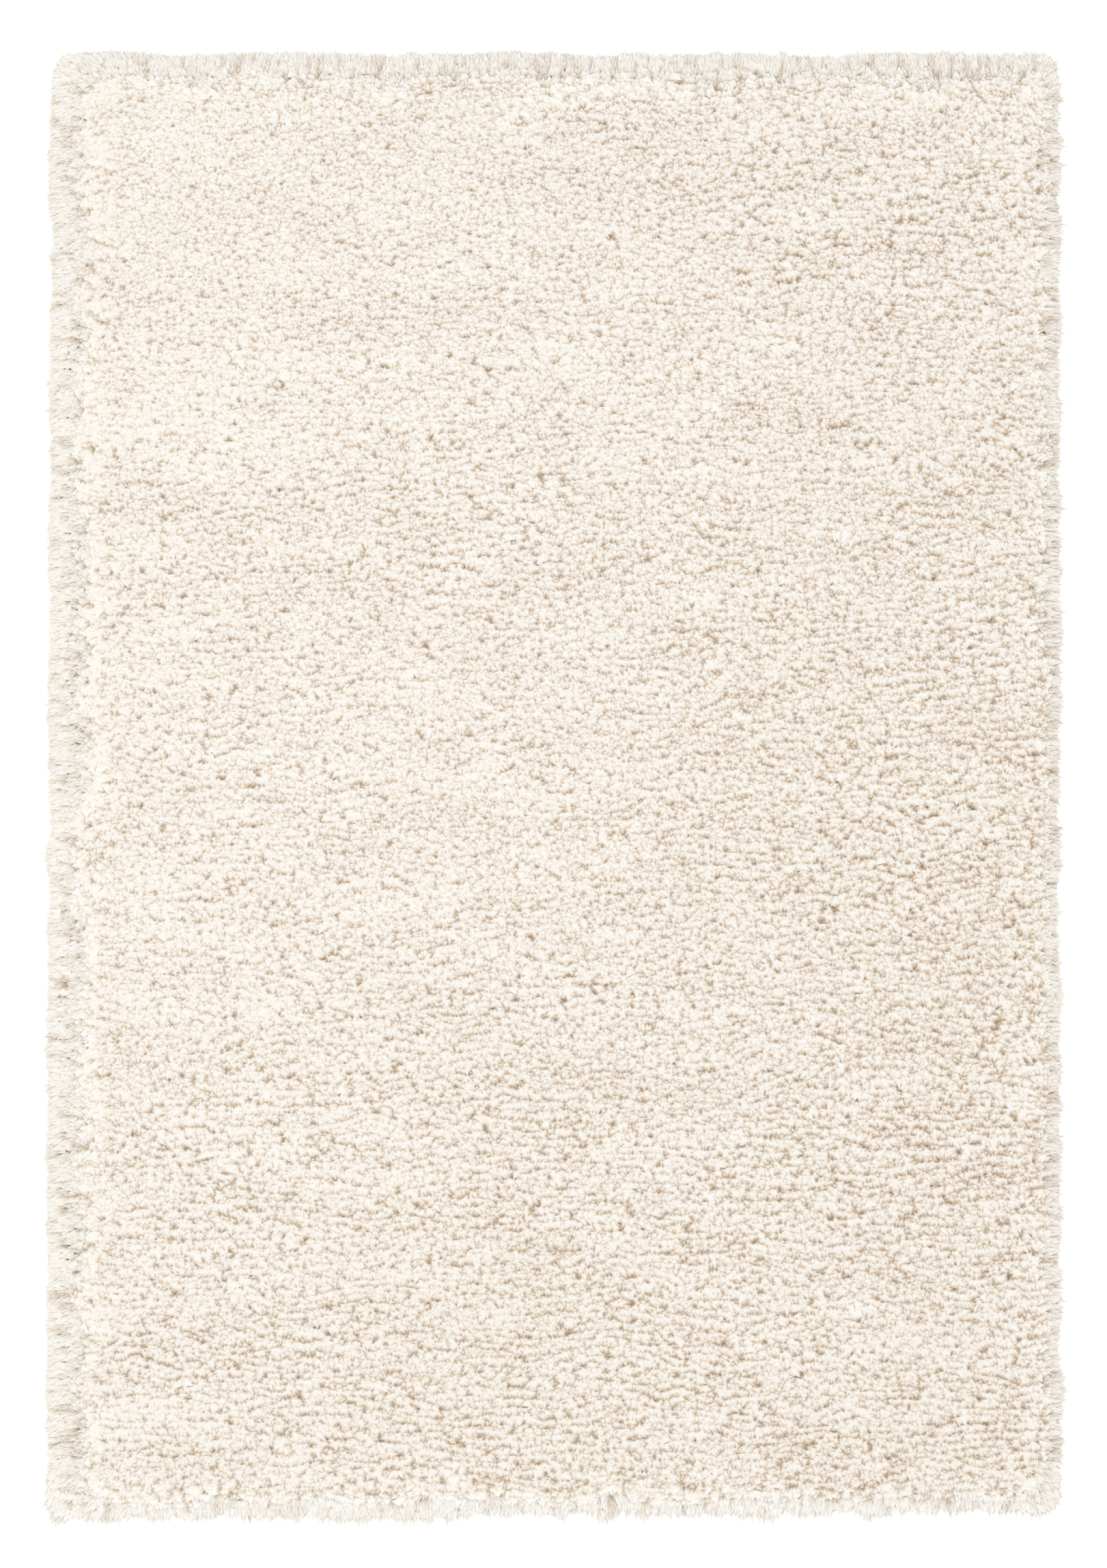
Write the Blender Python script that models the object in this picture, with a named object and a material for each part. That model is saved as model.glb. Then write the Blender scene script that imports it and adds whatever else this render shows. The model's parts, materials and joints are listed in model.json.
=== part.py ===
"""Shag rug: an ivory deep-pile rug of the 160 x 230 cm size, lying flat.

It is one solid. A slab of pile with a lumpy top and a flat underside carries a row of
tapering locks round its rim, which lean outward and lie on the floor. Metres, +Z up.
The long side runs along Y, and the origin is under the middle of the rug's box.
"""

import math
import random
from collections import namedtuple

import bmesh
import bpy
from mathutils import Vector, noise

# The rug over its pile, from lock tip to lock tip.
WIDTH = 1.600
LENGTH = 2.312
# The rug isn't quite square: its left side flares and its near side runs askew.
LEFT_FLARE = 0.007
NEAR_SIDE_DROP = 0.018
CORNER_RADIUS = 0.026

# The pile: its height in the middle, at the shoulder and where the rim's locks start.
PILE_HEIGHT = 0.0350
SHOULDER_HEIGHT = 0.0325
RIM_HEIGHT = 0.0245
SHOULDER_INSET = 0.024

# The lumps of the top, the widest first: how far apart and how high they are.
Lump = namedtuple("Lump", "spacing height seed")
LUMPS = (
    Lump(spacing=0.420, height=0.0050, seed=3.1),
    Lump(spacing=0.160, height=0.0100, seed=17.7),
    Lump(spacing=0.083, height=0.0160, seed=41.3),
)
# Pile lies in rows across the rug, so the lumps are longer along X than along Y.
ROW_STRETCH = 1.4
# How far a point of the top is moved sideways, so that the lumps stand in no even grid.
LUMP_DRIFT = 0.016

# The mesh of the top: cells across and along, the outermost ones narrow.
CELLS_X = 30
CELLS_Y = 44
SHORT_EDGE = 0.030
RIM_WAVE = 0.0030
RIM_WAVE_SPACING = 0.060

# The locks of the rim.
LOCK_REACH = 0.0270
LOCK_REACH_SPREAD = 0.0050
CORNER_STRETCH = 0.18
FAN_RADIUS = 0.060
LOCK_LEAN = 0.0075
LOCK_GAP = 0.0026
LOCK_LIFT = 0.0080
RAISED_SHARE = 0.35
LOCK_SEED = 29
# How a lock tapers outward, as shares of its reach and of its root's size.
LockRing = namedtuple("LockRing", "reach width height")
LOCK_RINGS = (
    LockRing(reach=0.56, width=0.86, height=0.68),
    LockRing(reach=1.00, width=0.40, height=0.28),
)
# Places on the rim where the locks are longer, and by how much at most.
LongLocks = namedtuple("LongLocks", "x y radius extra")
LONG_LOCKS = (
    LongLocks(x=0.800, y=1.125, radius=0.050, extra=0.007),
    LongLocks(x=0.800, y=-0.700, radius=0.035, extra=0.009),
    LongLocks(x=0.800, y=-1.030, radius=0.060, extra=0.011),
    LongLocks(x=-0.765, y=-1.165, radius=0.060, extra=0.008),
)

PILE_COLOUR = (0.88, 0.82, 0.71, 1.0)
PILE_ROUGHNESS = 0.95


def clear_scene():
    for old in list(bpy.data.objects):
        bpy.data.objects.remove(old, do_unlink=True)


def make_pile_material():
    material = bpy.data.materials.new("ivory_pile")
    material.use_nodes = True
    shader = material.node_tree.nodes["Principled BSDF"]
    shader.inputs["Base Color"].default_value = PILE_COLOUR
    shader.inputs["Roughness"].default_value = PILE_ROUGHNESS
    shader.inputs["Metallic"].default_value = 0.0
    material.diffuse_color = PILE_COLOUR
    return material


def line_place(step, cells, half):
    """Where grid line number step lies, from -half to half, with a narrow cell at each end."""
    inner = (2 * half - 2 * SHOULDER_INSET) / (cells - 2)
    if step < 1:
        return -half + step * SHOULDER_INSET
    if step > cells - 1:
        return half - (cells - step) * SHOULDER_INSET
    return -half + SHOULDER_INSET + (step - 1) * inner


def round_corner(x, y, half_x, half_y):
    """Draws the square of each corner in to a quarter disc."""
    out_x = abs(x) - (half_x - CORNER_RADIUS)
    out_y = abs(y) - (half_y - CORNER_RADIUS)
    if out_x <= 0 or out_y <= 0:
        return x, y
    squeeze = max(out_x, out_y) / Vector((out_x, out_y)).length
    x += (squeeze - 1) * out_x * (1 if x > 0 else -1)
    y += (squeeze - 1) * out_y * (1 if y > 0 else -1)
    return x, y


def skew_outline(x, y):
    """Lets the left side flare towards the near end, and the near side run askew."""
    to_left = 0.5 - x / WIDTH
    to_near = 0.5 - y / LENGTH
    return x - LEFT_FLARE * to_left * to_near, y - NEAR_SIDE_DROP * to_left * to_near


def pile_height(point, inset):
    """The height of the top at a point that lies this far in from the slab's edge."""
    if inset < SHOULDER_INSET / 2:
        height = RIM_HEIGHT
    elif inset < 1.5 * SHOULDER_INSET:
        height = SHOULDER_HEIGHT
    else:
        height = PILE_HEIGHT
    share = height / PILE_HEIGHT
    for lump in LUMPS:
        place = Vector((point.x / ROW_STRETCH, point.y, 0)) / lump.spacing
        height += share * lump.height * noise.noise(place + Vector((0, 0, lump.seed)))
    return height


def lay_out_top(bm):
    """Makes the top as a grid and gives it the rug's outline."""
    half_x = WIDTH / 2 - LOCK_REACH
    half_y = LENGTH / 2 - LOCK_REACH
    bmesh.ops.create_grid(bm, x_segments=CELLS_X, y_segments=CELLS_Y, size=1)
    for vert in bm.verts:
        x = line_place((vert.co.x + 1) / 2 * CELLS_X, CELLS_X, half_x)
        y = line_place((vert.co.y + 1) / 2 * CELLS_Y, CELLS_Y, half_y)
        vert.co.xy = round_corner(x, y, half_x, half_y)
    return half_x, half_y


def split_rim(bm):
    """Cuts each long edge of the rim in two, for two locks to a cell."""
    rim = [edge for edge in bm.edges if edge.is_boundary]
    long_edges = [edge for edge in rim if edge.calc_length() > SHORT_EDGE]
    bmesh.ops.subdivide_edges(bm, edges=long_edges, cuts=1)


def fan_direction(place, half_x, half_y):
    """The way out of the rug from a place on its rim, turning evenly round each corner."""
    inner_x = half_x - FAN_RADIUS
    inner_y = half_y - FAN_RADIUS
    nearest = Vector((
        max(-inner_x, min(inner_x, place.x)),
        max(-inner_y, min(inner_y, place.y)),
    ))
    return (place.xy - nearest).to_3d().normalized()


def raise_top(bm, half_x, half_y):
    """Lifts each point of the top to the pile's height, and moves it a little sideways."""
    for vert in bm.verts:
        place = vert.co.copy()
        inset = min(half_x - abs(place.x), half_y - abs(place.y))
        if vert.is_boundary:
            inset = 0
            outward = fan_direction(place, half_x, half_y)
            vert.co += outward * RIM_WAVE * noise.noise(place / RIM_WAVE_SPACING)
        elif inset > 1.5 * SHOULDER_INSET:
            vert.co += LUMP_DRIFT * noise.noise_vector(place / LUMPS[-1].spacing)
        vert.co.z = pile_height(place, inset)
        vert.co.xy = skew_outline(vert.co.x, vert.co.y)


def bearing(face):
    """Where a face stands round the rim, as an angle about the rug's middle."""
    middle = face.calc_center_median()
    return math.atan2(middle.y, middle.x)


def close_underside(bm):
    """Brings the rim down to the floor, closes the flat underside and returns the walls."""
    rim = [edge for edge in bm.edges if edge.is_boundary]
    made = bmesh.ops.extrude_edge_only(bm, edges=rim)["geom"]
    for vert in [item for item in made if isinstance(item, bmesh.types.BMVert)]:
        vert.co.z = 0
    walls = [item for item in made if isinstance(item, bmesh.types.BMFace)]
    walls.sort(key=bearing)
    foot = [edge for edge in bm.edges if edge.is_boundary]
    bmesh.ops.edgeloop_fill(bm, edges=foot)
    bmesh.ops.recalc_face_normals(bm, faces=bm.faces)
    return walls


def lock_reach(root, outward, chance):
    """How far the lock at this root reaches, longer at corners and where the strays are."""
    reach = LOCK_REACH + LOCK_REACH_SPREAD * chance.uniform(-1, 1)
    reach *= 1 + CORNER_STRETCH * abs(2 * outward.x * outward.y)
    for spot in LONG_LOCKS:
        away = (root.xy - Vector((spot.x, spot.y))).length
        if away < spot.radius:
            reach += spot.extra * chance.uniform(0.3, 1)
    return reach


def grow_lock(bm, wall, half_x, half_y, chance):
    """Draws one wall out into a lock that leans outward and lies on the floor."""
    middle = wall.calc_center_median()
    outward = fan_direction(middle, half_x, half_y)
    root = {
        "middle": middle,
        "outward": outward,
        "sideways": Vector((-outward.y, outward.x, 0)),
        "foot": min(vert.co.z for vert in wall.verts),
        "reach": lock_reach(middle, outward, chance),
        "lean": LOCK_LEAN * chance.uniform(-1, 1),
        "lift": LOCK_LIFT * chance.random() if chance.random() < RAISED_SHARE else 0.0,
        "corners": [vert.co.copy() for vert in wall.verts],
    }
    tip = wall
    for ring in LOCK_RINGS:
        tip = bmesh.ops.extrude_discrete_faces(bm, faces=[tip])["faces"][0]
        shape_ring(tip, root, ring)


def shape_ring(tip, root, ring):
    """Places one ring of a lock by the ring's shares of the lock's reach and root."""
    middle = root["middle"] + root["outward"] * root["reach"] * ring.reach
    middle += root["sideways"] * root["lean"] * ring.reach**2
    for vert, corner in zip(tip.verts, root["corners"]):
        across = (corner - root["middle"]).dot(root["sideways"]) * ring.width
        above = (corner.z - root["foot"]) * ring.height
        vert.co = middle + root["sideways"] * across
        vert.co.z = root["lift"] + above


def grow_locks(bm, walls, half_x, half_y):
    chance = random.Random(LOCK_SEED)
    bmesh.ops.inset_individual(bm, faces=walls, thickness=LOCK_GAP, use_even_offset=True)
    for wall in walls:
        grow_lock(bm, wall, half_x, half_y, chance)


def centre_on_origin(bm):
    """Moves the rug so that the origin is under the middle of its box."""
    for axis in (0, 1):
        places = [vert.co[axis] for vert in bm.verts]
        middle = (min(places) + max(places)) / 2
        for vert in bm.verts:
            vert.co[axis] -= middle


def make_rug(collection):
    bm = bmesh.new()
    half_x, half_y = lay_out_top(bm)
    split_rim(bm)
    raise_top(bm, half_x, half_y)
    walls = close_underside(bm)
    grow_locks(bm, walls, half_x, half_y)
    centre_on_origin(bm)
    mesh = bpy.data.meshes.new("shag_rug")
    bm.to_mesh(mesh)
    bm.free()
    mesh.shade_smooth()
    rug = bpy.data.objects.new("shag_rug", mesh)
    rug.data.materials.append(make_pile_material())
    collection.objects.link(rug)
    print(f"shag_rug: {len(walls)} locks, size {tuple(round(side, 4) for side in rug.dimensions)}")
    return rug


def main():
    clear_scene()
    collection = bpy.data.collections.new("shag_rug_parts")
    bpy.context.scene.collection.children.link(collection)
    make_rug(collection)


main()
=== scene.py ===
# %% [markdown]
# # An ivory shag rug, lying flat
# A shag rug is a woven cloth with thousands of long, soft yarn ends standing up from it. On this
# one the yarn is about 35 mm long, nearly white at its tips and painted tan down towards its
# roots, as painted shade, and it leans, clumps and parts a little everywhere. The solid model
# gives the rug's size and its lumpy top. This script adds what the eye sees: one end of yarn,
# some two hundred and twenty thousand copies of it, the packed yarn below them and the cloth
# underneath.

# %% Load the solid model
import json
import math
from collections import namedtuple

import bpy
import numpy as np
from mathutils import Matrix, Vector, noise

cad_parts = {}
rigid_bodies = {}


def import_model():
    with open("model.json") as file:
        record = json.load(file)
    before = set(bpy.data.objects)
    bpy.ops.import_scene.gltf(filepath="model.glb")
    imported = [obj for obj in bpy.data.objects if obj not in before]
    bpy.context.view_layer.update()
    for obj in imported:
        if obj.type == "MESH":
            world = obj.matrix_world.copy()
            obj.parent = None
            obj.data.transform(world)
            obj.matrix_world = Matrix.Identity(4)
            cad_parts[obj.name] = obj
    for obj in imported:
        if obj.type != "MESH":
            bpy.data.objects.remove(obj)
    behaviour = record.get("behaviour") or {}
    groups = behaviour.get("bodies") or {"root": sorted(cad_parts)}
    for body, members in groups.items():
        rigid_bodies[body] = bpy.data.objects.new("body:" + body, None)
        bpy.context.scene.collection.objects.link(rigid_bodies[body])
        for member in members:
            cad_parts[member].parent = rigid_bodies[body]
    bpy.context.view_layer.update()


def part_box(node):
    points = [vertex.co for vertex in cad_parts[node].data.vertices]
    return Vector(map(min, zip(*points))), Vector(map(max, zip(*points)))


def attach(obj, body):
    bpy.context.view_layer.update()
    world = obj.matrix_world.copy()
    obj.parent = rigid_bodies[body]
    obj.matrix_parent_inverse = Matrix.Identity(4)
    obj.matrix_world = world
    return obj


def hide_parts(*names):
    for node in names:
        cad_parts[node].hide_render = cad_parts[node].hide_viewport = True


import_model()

low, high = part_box("shag_rug")
print(f"the solid rug is {high.x - low.x:.3f} x {high.y - low.y:.3f} x {high.z - low.z:.3f} m")

# %% [markdown]
# ## The rug's outline
# The rug isn't a true rectangle. Its left side flares a little towards the near end, its near
# side runs askew, and its corners are rounded. A few stray locks reach past the rest, so the
# even outline is a little smaller than the box round the solid. The pile also reaches past the
# cloth that it is tied into, by RIM_REACH all round. The yarn is planned on a straight
# rectangle first, and one function then skews every point to where it lies on the real rug.

# %% Name the outline's sizes
STRAY_REACH_X = 0.0075
STRAY_REACH_Y = 0.0140
WIDTH = high.x - low.x - STRAY_REACH_X
LENGTH = high.y - low.y - STRAY_REACH_Y
LEFT_FLARE = 0.007
NEAR_SIDE_DROP = 0.0135
MIDDLE_X = -0.0013
MIDDLE_Y = 0.0074
RIM_REACH = 0.027
HALF_X = WIDTH / 2 - RIM_REACH
HALF_Y = LENGTH / 2 - RIM_REACH
CORNER_RADIUS = 0.034


def skew(x, y):
    """Moves points of the straight rectangle to where they lie on the real, uneven rug."""
    to_left = 0.5 - x / WIDTH
    to_near = 0.5 - y / LENGTH
    return (
        x - LEFT_FLARE * to_left * to_near + MIDDLE_X,
        y - NEAR_SIDE_DROP * to_left * to_near + MIDDLE_Y,
    )


print(f"the pile is {WIDTH:.3f} x {LENGTH:.3f} m, its cloth {2 * HALF_X:.3f} x {2 * HALF_Y:.3f} m")

# %% [markdown]
# ## Uneven, but never random twice
# Nothing on a shag rug is even: heights, directions and tones all wander. One function gives a
# smooth field of seeded random hills, with its own spacing across and along the rug, and it
# serves for all of them. The seed makes every run the same.

# %% A smooth wandering field
def wander(x, y, across, along, seed):
    """A smooth value from -1 to 1 at each point, with hills about this far apart."""
    columns = int(2.4 / across) + 3
    rows = int(3.2 / along) + 3
    hills = np.random.default_rng(seed).uniform(-1, 1, (rows, columns))
    column = (x + 1.2) / across
    row = (y + 1.6) / along
    left = np.floor(column).astype(int)
    near = np.floor(row).astype(int)
    over = column - left
    up = row - near
    over = over * over * (3 - 2 * over)
    up = up * up * (3 - 2 * up)
    lower = hills[near, left] * (1 - over) + hills[near, left + 1] * over
    upper = hills[near + 1, left] * (1 - over) + hills[near + 1, left + 1] * over
    return lower * (1 - up) + upper * up


def eased(share):
    """A share from 0 to 1, with a soft start and a soft end."""
    share = np.clip(share, 0, 1)
    return share * share * (3 - 2 * share)


hills_tried = wander(np.linspace(-0.8, 0.8, 9), np.zeros(9), 0.3, 0.3, 1)
print("a wandering field across the rug:", np.round(hills_tried, 2))


# %% [markdown]
# ## One end of yarn
# Each end is a soft twist of wool. It could be a curve with a bevel, but there will be some two
# hundred and twenty thousand copies, so every triangle counts. A cone with three sides, its
# point up, has only four. Low and wide, it is the fluffy tip of standing yarn as seen from
# above, and long and flat, it is a strand that lies on the rim. It is made one unit tall and
# one unit round, and its copies are turned and sized later.

# %% Model one end of yarn
def deselect_all():
    for thing in bpy.context.view_layer.objects:
        thing.select_set(False)


YarnEnd = namedtuple("YarnEnd", "points faces")


def model_yarn_end():
    """Models one end, one unit tall, with the middle of its foot at the origin."""
    deselect_all()
    bpy.ops.mesh.primitive_cone_add(
        vertices=3, radius1=1, radius2=0, depth=1, location=(0, 0, 0.5)
    )
    end = bpy.context.object
    bpy.ops.object.transform_apply(location=True, rotation=True, scale=True)
    bpy.ops.object.mode_set(mode="EDIT")
    bpy.ops.mesh.select_all(action="SELECT")
    bpy.ops.mesh.normals_make_consistent(inside=False)
    bpy.ops.object.mode_set(mode="OBJECT")
    points = np.array([point.co for point in end.data.vertices])
    faces = np.array([face.vertices for face in end.data.polygons])
    bpy.data.objects.remove(end, do_unlink=True)
    print(f"one end: {len(points)} points, {len(faces)} triangles")
    return YarnEnd(points, faces)


yarn_end = model_yarn_end()

# %% [markdown]
# ## Turn, size and copy it
# Each copy is planned first: the place of its tip, the way it points, its length, width and
# flatness, a turn about its own line, its shade of ivory, how much its tone is moved from what its
# place tells, by stain, painted shade and painted light, and how much it lies down. The copies are
# worked out all at once, as arrays with a row for each end, because separate objects by the
# thousand would be too slow.

# %% Set copies of the end on planned lines
Plan = namedtuple("Plan", "tip way length width flatness turn shade stain lying")
CLOTH_TOP = 0.003
FLOOR_GAP = 0.0003
LEVEL_SHARE = 0.3
LYING_TILT = 0.70
FRAY = 0.0008


def pick(plan, chosen):
    """The plan of the chosen ends only."""
    return Plan(*(values[chosen] for values in plan))


def unit(vectors):
    return vectors / (np.linalg.norm(vectors, axis=1, keepdims=True) + 1e-9)


def set_ends(plan, chance):
    """The points of every copy, as an array of ends by points by x, y and z."""
    foot = plan.tip - plan.way * plan.length[:, None]
    foot[:, 2] = np.maximum(foot[:, 2], CLOTH_TOP)
    # The foot of a standing end is nearly level, however the yarn leans.
    level = LEVEL_SHARE + LYING_TILT * plan.lying
    axis = unit(plan.way * np.stack([level, level, np.ones_like(level)], axis=1))
    side = unit(np.stack([-axis[:, 1], axis[:, 0], np.zeros(len(axis))], axis=1) + (1e-6, 0, 0))
    over = np.cross(side, axis)
    cos_turn = np.cos(plan.turn)[:, None]
    sin_turn = np.sin(plan.turn)[:, None]
    x = yarn_end.points[:, 0][None, :]
    y = yarn_end.points[:, 1][None, :]
    to_side = (x * cos_turn - y * sin_turn) * (plan.width * plan.flatness)[:, None]
    to_over = (x * sin_turn + y * cos_turn) * (plan.width / plan.flatness)[:, None]
    up = yarn_end.points[:, 2][None, :, None]
    points = foot[:, None] + (plan.tip - foot)[:, None] * up
    points += side[:, None] * to_side[..., None] + over[:, None] * to_over[..., None]
    points[..., 2] += FRAY * chance.normal(0, 1, points.shape[:2]) * (1 - yarn_end.points[:, 2])
    points[..., 0], points[..., 1] = skew(points[..., 0], points[..., 1])
    points[..., 2] = np.maximum(points[..., 2], FLOOR_GAP)
    return points


print(f"the plan of an end holds: {', '.join(Plan._fields)}")

# %% [markdown]
# ## How deep each point lies
# Yarn is nearly white at its tip, and down between the tips it is painted tan, as painted shade,
# so the colour needs the depth of each point. It is measured from a soft surface through the
# tips: their mean height in small cells of the rug, each cell spread a little over its
# neighbours.

# %% Measure depth below the tips
CELL = 0.003
CELLS_X = 560
CELLS_Y = 800
HILL = (1, 2, 3, 4, 3, 2, 1)


def cell_of(points):
    column = (points[..., 0] / CELL + CELLS_X / 2).astype(int)
    row = (points[..., 1] / CELL + CELLS_Y / 2).astype(int)
    return np.clip(column, 0, CELLS_X - 1), np.clip(row, 0, CELLS_Y - 1)


def smoothed(grid):
    """A grid with each cell spread softly over its neighbours."""
    for axis in (0, 1):
        grid = sum(share * np.roll(grid, step, axis) for step, share in enumerate(HILL, start=-3))
    return grid


def soft_surface(points):
    """The mean height of the yarn's tips in each small cell of the rug."""
    column, row = cell_of(points)
    total = np.zeros((CELLS_Y, CELLS_X))
    count = np.zeros((CELLS_Y, CELLS_X))
    np.add.at(total, (row, column), points[..., 2])
    np.add.at(count, (row, column), 1)
    return smoothed(total) / (smoothed(count) + 1e-6)


def surface_height(surface, points):
    column, row = cell_of(points)
    return surface[row, column]


print(f"{CELLS_X} x {CELLS_Y} cells of {CELL * 1000:.0f} mm")

# %% [markdown]
# ## A map for the colours
# Each corner gets a place on a map that the material reads later. Across the map goes the shade
# of ivory that the end has, and up it goes the tone, from tan at the bottom, which is painted
# shade, to ivory at the top. A standing end takes its tone from its depth, and a lying one from
# how far down its own length a point is. Each end gets a small patch of the map and not one
# spot, so that the export can paint it.

# %% Map each end's colours
MAP_WIDTH = 0.020
MAP_LOW = 0.01
MAP_RISE = 0.97
TIP_TONE = 0.92
# The tone is painted shade: a point is painted tanner the deeper it lies below the tips.
PAINTED_SHADE_DEPTH = 0.0143
RIM_TONE = 0.930
# A lying end is painted tanner down its length, as painted shade under the ends that cover it.
RIM_SHADE_FADE = 0.22
RIM_SHADE_AT_TIP = 0.3
FOOT_TONE = 0.20


def map_corners(plan, points, surface):
    """Where each face's corners lie on the yarn map: the end's shade across, its tone up, painted tan
    with depth as shade.
    """
    # Painted shade: the deeper a point lies below the soft surface, the tanner it is painted.
    depth = surface_height(surface, points) - points[..., 2] + plan.stain[:, None]
    shade_by_depth = TIP_TONE - depth / PAINTED_SHADE_DEPTH
    # Painted shade down a lying end, from a little at its tip to most at its foot.
    down = 1 - yarn_end.points[:, 2][None, :]
    down = RIM_SHADE_AT_TIP + (1 - RIM_SHADE_AT_TIP) * down
    shade_by_length = RIM_TONE - (RIM_SHADE_FADE + plan.stain[:, None] / PAINTED_SHADE_DEPTH) * down
    share = plan.lying[:, None]
    tone = np.clip((1 - share) * shade_by_depth + share * shade_by_length, FOOT_TONE, 1)
    across = plan.shade[:, None] + MAP_WIDTH * yarn_end.points[:, 0][None, :]
    along = MAP_LOW + MAP_RISE * tone + 0.3 * MAP_WIDTH * yarn_end.points[:, 1][None, :]
    return np.stack([across, np.clip(along, 0, 1)], axis=2)[:, yarn_end.faces]


print(f"yarn turns tan over {PAINTED_SHADE_DEPTH * 1000:.1f} mm of depth")

# %% [markdown]
# ## Soft light on each end
# Real yarn is round and fluffy, and a cone's flat sides would catch the light like folded
# paper. Each corner is given a normal of its own that points up and a little outwards, so an
# end is shaded like a soft ball. Faces that look down keep their true normals.

# %% Give the ends soft normals
SOFT_SIDE = 0.55
LYING_SOFTNESS = 0.8
LOOKING_DOWN = 0.02


def soft_normals(plan, points):
    """The way each corner catches the light: like a soft round end, not like a sharp cone."""
    corners = points[:, yarn_end.faces]
    flat = np.cross(corners[:, :, 1] - corners[:, :, 0], corners[:, :, 2] - corners[:, :, 0])
    flat /= np.linalg.norm(flat, axis=2, keepdims=True) + 1e-12
    tip = points[:, yarn_end.points[:, 2] > 0.5].mean(axis=1)
    foot = points[:, yarn_end.points[:, 2] < 0.5].mean(axis=1)
    along = unit(tip - foot)[:, None]
    outward = points - foot[:, None]
    outward = outward - along * (outward * along).sum(axis=2, keepdims=True)
    outward /= np.linalg.norm(outward, axis=2, keepdims=True) + 1e-6
    soft = outward * (SOFT_SIDE * (1 - LYING_SOFTNESS * plan.lying))[:, None, None] + (0, 0, 1)
    soft = soft[:, yarn_end.faces]
    below = flat[:, :, None, 2:] < LOOKING_DOWN
    normals = np.where(below, flat[:, :, None], soft)
    normals = normals.reshape(-1, 3)
    return normals / np.linalg.norm(normals, axis=1, keepdims=True)


print(f"an end's sides lean {math.degrees(math.atan(SOFT_SIDE)):.0f} degrees to the light")

# %% [markdown]
# ## One mesh of many ends
# Blender can build a mesh straight from arrays. The faces of every copy are those of the one
# modelled end, with their point numbers counted on from copy to copy.

# %% Plant ends in one mesh
def plant(name, plan, points, surface):
    """Makes one mesh of all the planned ends."""
    ends, each, _ = points.shape
    starts = np.arange(ends)[:, None, None] * each
    faces = (yarn_end.faces[None] + starts).reshape(-1, 3)
    mesh = bpy.data.meshes.new(name)
    mesh.vertices.add(ends * each)
    mesh.vertices.foreach_set("co", points.astype(np.float32).ravel())
    mesh.loops.add(faces.size)
    mesh.loops.foreach_set("vertex_index", faces.astype(np.int32).ravel())
    mesh.polygons.add(len(faces))
    mesh.polygons.foreach_set("loop_start", np.arange(0, faces.size, 3, dtype=np.int32))
    mesh.update(calc_edges=True)
    mesh.normals_split_custom_set(soft_normals(plan, points))
    yarn_map = mesh.uv_layers.new(name="OFBake")
    corners = map_corners(plan, points, surface)
    yarn_map.data.foreach_set("uv", corners.astype(np.float32).ravel())
    piece = bpy.data.objects.new(name, mesh)
    bpy.context.scene.collection.objects.link(piece)
    print(f"{name}: {ends} ends, {len(faces)} triangles")
    return piece


# %% [markdown]
# ## The shape of the pile
# The pile is about 38 mm high, with soft lumps, and along the rim it is rounded down towards
# the floor. The lumps are the solid's own, a good deal lower.

# %% Shape the pile's top
Lump = namedtuple("Lump", "spacing height seed")
PILE_HEIGHT = 0.0385
SHOULDER = 0.085
RIM_SHARE = 0.18
SHOULDER_ROUND = 1.8
RIM_ROUND = 0.8
ROW_STRETCH = 1.4
LUMPS = (
    Lump(spacing=0.420, height=0.0050, seed=3.1),
    Lump(spacing=0.160, height=0.0100, seed=17.7),
    Lump(spacing=0.083, height=0.0160, seed=41.3),
)
LUMP_SHARE = 0.35
OUTER_X = HALF_X + RIM_REACH
OUTER_Y = HALF_Y + RIM_REACH
OUTER_RADIUS = 0.041


def rim_distance(x, y, half_x, half_y, radius):
    """How far points lie in from the outline of a rectangle with rounded corners."""
    out_x = np.abs(x) - (half_x - radius)
    out_y = np.abs(y) - (half_y - radius)
    beyond = np.hypot(np.maximum(out_x, 0), np.maximum(out_y, 0))
    return radius - beyond - np.minimum(np.maximum(out_x, out_y), 0)


def lump_height(x, y):
    """How much the solid's lumpy top is raised or sunk at each point."""
    height = np.zeros_like(x)
    for number, (across, along) in enumerate(zip(x, y)):
        for lump in LUMPS:
            place = Vector((across / ROW_STRETCH, along, 0)) / lump.spacing
            height[number] += lump.height * noise.noise(place + Vector((0, 0, lump.seed)))
    return height


def rounded(inside):
    """The share of the pile's height at this distance in from the outline."""
    share = np.clip(inside / SHOULDER, 0, 1)
    return RIM_SHARE + (1 - RIM_SHARE) * (1 - (1 - share) ** SHOULDER_ROUND) ** RIM_ROUND


def pile_top(x, y, lumps):
    """The height of the pile's top."""
    inside = rim_distance(x, y, OUTER_X, OUTER_Y, OUTER_RADIUS)
    share = np.clip(inside / SHOULDER, 0, 1)
    return (PILE_HEIGHT + LUMP_SHARE * lumps * share) * rounded(inside)


print(f"the pile falls from {PILE_HEIGHT * 1000:.1f} mm to {RIM_SHARE * PILE_HEIGHT * 1000:.1f} mm")

# %% [markdown]
# ## The four sides of the rim
# Near the rim the pile is drawn outwards, on the left from farthest in and a little downwards.
# The near side is also painted the palest, as painted light, and it is the most ragged. Each side
# is a row of a short table: the way out, how wide its zone is, how much the yarn drifts along it,
# how much painted light makes it paler (on the right, painted shade makes it a little darker) and
# how far single ends stick out there.

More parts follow.
